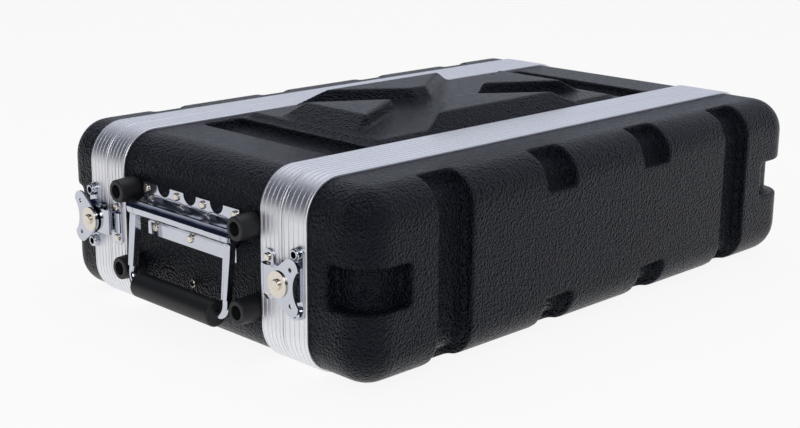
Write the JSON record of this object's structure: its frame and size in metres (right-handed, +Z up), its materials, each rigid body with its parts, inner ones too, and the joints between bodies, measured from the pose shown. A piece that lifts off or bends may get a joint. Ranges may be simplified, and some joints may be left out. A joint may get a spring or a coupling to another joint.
{
  "type": "microphone flight case",
  "caption": "Low black plastic flight case with fluted aluminium bands, lift-off lids, twist latches, sprung bail handles, rubber side feet and 19-inch rack rails inside.",
  "frame": {"origin": "middle of the case on the surface that it stands on", "axes": "+X to the right seen from the front lid, +Y from the front lid to the rear lid, +Z up"},
  "size_m": [0.5748, 0.348, 0.1552],
  "materials": {
    "black_abs": "pebble grain, satin",
    "aluminium": "satin, fluted lengthwise",
    "chromed_steel": "bright chrome",
    "nickel_steel": "nickel plate",
    "zinc_steel": "zinc plate",
    "spring_steel": "oiled",
    "black_steel": "black zinc",
    "black_rubber": "smooth matte"
  },
  "bodies": {
    "case_body": {"body_shell": "black_abs", "front_body_valance": "aluminium", "front_left_rack_rail": "black_steel", "front_left_latch_keeper": "chromed_steel", "front_right_rack_rail": "black_steel", "front_right_latch_keeper": "chromed_steel", "rear_body_valance": "aluminium", "rear_left_rack_rail": "black_steel", "rear_left_latch_keeper": "chromed_steel", "rear_right_rack_rail": "black_steel", "rear_right_latch_keeper": "chromed_steel", "left_front_upper_foot": "black_rubber", "left_front_lower_foot": "black_rubber", "left_rear_upper_foot": "black_rubber", "left_rear_lower_foot": "black_rubber", "left_handle_plate": "chromed_steel", "left_handle_pin": "chromed_steel", "left_handle_spring": "spring_steel", "left_handle_rivets": "nickel_steel", "right_front_upper_foot": "black_rubber", "right_front_lower_foot": "black_rubber", "right_rear_upper_foot": "black_rubber", "right_rear_lower_foot": "black_rubber", "right_handle_plate": "chromed_steel", "right_handle_pin": "chromed_steel", "right_handle_spring": "spring_steel", "right_handle_rivets": "nickel_steel", "foot_screws": "zinc_steel", "foot_screw_nuts": "zinc_steel", "keeper_rivets": "nickel_steel"},
    "front_lid": {"front_lid_shell": "black_abs", "front_lid_valance": "aluminium", "front_latch_eyelets": "nickel_steel", "front_left_latch_base": "chromed_steel", "front_left_latch_pin": "nickel_steel", "front_right_latch_base": "chromed_steel", "front_right_latch_pin": "nickel_steel"},
    "rear_lid": {"rear_lid_shell": "black_abs", "rear_lid_valance": "aluminium", "rear_latch_eyelets": "nickel_steel", "rear_left_latch_base": "chromed_steel", "rear_left_latch_pin": "nickel_steel", "rear_right_latch_base": "chromed_steel", "rear_right_latch_pin": "nickel_steel"},
    "front_left_hook": {"front_left_latch_hook": "chromed_steel"},
    "front_left_butterfly": {"front_left_latch_butterfly": "chromed_steel"},
    "front_right_hook": {"front_right_latch_hook": "chromed_steel"},
    "front_right_butterfly": {"front_right_latch_butterfly": "chromed_steel"},
    "rear_left_hook": {"rear_left_latch_hook": "chromed_steel"},
    "rear_left_butterfly": {"rear_left_latch_butterfly": "chromed_steel"},
    "rear_right_hook": {"rear_right_latch_hook": "chromed_steel"},
    "rear_right_butterfly": {"rear_right_latch_butterfly": "chromed_steel"},
    "left_handle": {"left_handle_bail": "chromed_steel", "left_handle_grip": "black_rubber"},
    "right_handle": {"right_handle_bail": "chromed_steel", "right_handle_grip": "black_rubber"}
  },
  "joints": [
    {"name": "front_lid_pull_off", "type": "slide", "parent": "case_body", "child": "front_lid", "axis": [0, -1, 0], "range_m": [0, 0.15]},
    {"name": "rear_lid_pull_off", "type": "slide", "parent": "case_body", "child": "rear_lid", "axis": [0, 1, 0], "range_m": [0, 0.15]},
    {"name": "left_handle_swing", "type": "hinge", "parent": "case_body", "child": "left_handle", "pos_m": [-0.272, 0.013, 0.0903], "axis": [0, 1, 0], "range_deg": [0, 84.5], "stiffness_Nm_per_rad": 0.1},
    {"name": "right_handle_swing", "type": "hinge", "parent": "case_body", "child": "right_handle", "pos_m": [0.272, 0.013, 0.0903], "axis": [0, -1, 0], "range_deg": [0, 84.5], "stiffness_Nm_per_rad": 0.1},
    {"name": "front_left_butterfly_turn", "type": "hinge", "parent": "front_lid", "child": "front_left_butterfly", "pos_m": [-0.276, -0.1025, 0.07], "axis": [-1, 0, 0], "range_deg": [0, 180]},
    {"name": "front_left_hook_slide", "type": "slide", "parent": "front_lid", "child": "front_left_hook", "axis": [0, 1, 0], "range_m": [0, 0.004]},
    {"name": "front_right_butterfly_turn", "type": "hinge", "parent": "front_lid", "child": "front_right_butterfly", "pos_m": [0.276, -0.1025, 0.07], "axis": [-1, 0, 0], "range_deg": [0, 180]},
    {"name": "front_right_hook_slide", "type": "slide", "parent": "front_lid", "child": "front_right_hook", "axis": [0, 1, 0], "range_m": [0, 0.004]},
    {"name": "rear_left_butterfly_turn", "type": "hinge", "parent": "rear_lid", "child": "rear_left_butterfly", "pos_m": [-0.276, 0.1285, 0.07], "axis": [1, 0, 0], "range_deg": [0, 180]},
    {"name": "rear_left_hook_slide", "type": "slide", "parent": "rear_lid", "child": "rear_left_hook", "axis": [0, -1, 0], "range_m": [0, 0.004]},
    {"name": "rear_right_butterfly_turn", "type": "hinge", "parent": "rear_lid", "child": "rear_right_butterfly", "pos_m": [0.276, 0.1285, 0.07], "axis": [1, 0, 0], "range_deg": [0, 180]},
    {"name": "rear_right_hook_slide", "type": "slide", "parent": "rear_lid", "child": "rear_right_hook", "axis": [0, -1, 0], "range_m": [0, 0.004]}
  ],
  "couplings": [
    {"joint": "front_left_hook_slide", "follows": "front_left_butterfly_turn", "m_per_rad": 0.001273},
    {"joint": "front_right_hook_slide", "follows": "front_right_butterfly_turn", "m_per_rad": 0.001273},
    {"joint": "rear_left_hook_slide", "follows": "rear_left_butterfly_turn", "m_per_rad": 0.001273},
    {"joint": "rear_right_hook_slide", "follows": "rear_right_butterfly_turn", "m_per_rad": 0.001273}
  ]
}
